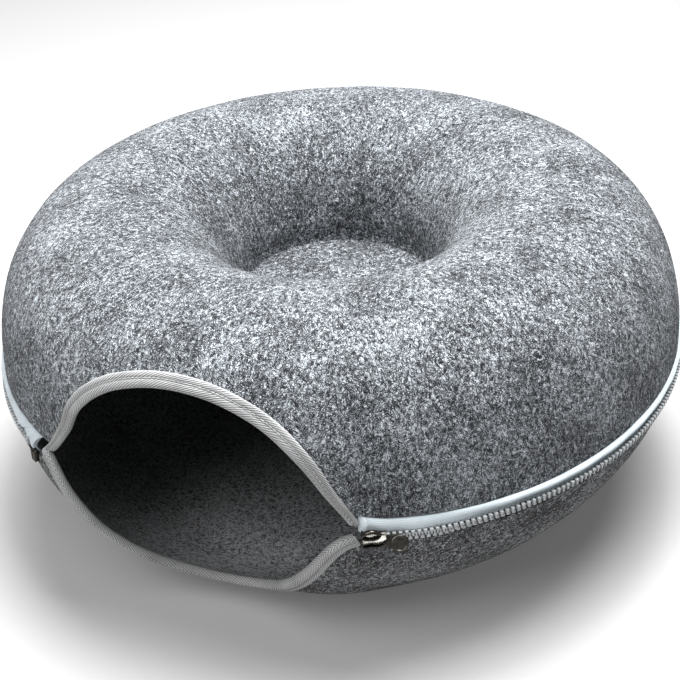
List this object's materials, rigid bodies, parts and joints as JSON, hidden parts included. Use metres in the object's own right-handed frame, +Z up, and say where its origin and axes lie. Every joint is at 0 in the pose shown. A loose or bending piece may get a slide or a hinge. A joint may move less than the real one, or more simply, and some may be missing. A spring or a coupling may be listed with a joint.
{
  "type": "donut cat tunnel bed",
  "caption": "Ring-shaped felt pet tunnel: two moulded shells zipped round the middle, a bound eye-shaped entrance at the side and a sunken seat on top.",
  "frame": {"origin": "on the floor under the middle of the ring, at the centre of the flat base", "axes": "+Z up, +X to the right and -Y to the front for someone who faces the entrance"},
  "size_m": [0.5074, 0.4909, 0.235],
  "materials": {
    "felt_upper": "heathered needle felt, mid grey",
    "felt_lower": "heathered needle felt, mid grey",
    "binding_twill": "woven twill binding tape, pale warm grey",
    "zip_tape": "satin woven zip tape, pale blue-grey",
    "zip_teeth": "moulded teeth, silver grey",
    "zip_metal": "polished gunmetal plating"
  },
  "bodies": {
    "root": {"upper_shell": "felt_upper", "lower_shell": "felt_lower", "binding_upper": "binding_twill", "binding_lower": "binding_twill", "zip_tape_upper": "zip_tape", "zip_tape_lower": "zip_tape", "zip_chain": "zip_teeth", "zip_slider": "zip_metal", "zip_puller": "zip_metal", "zip_end_stop": "zip_metal"}
  },
  "joints": []
}
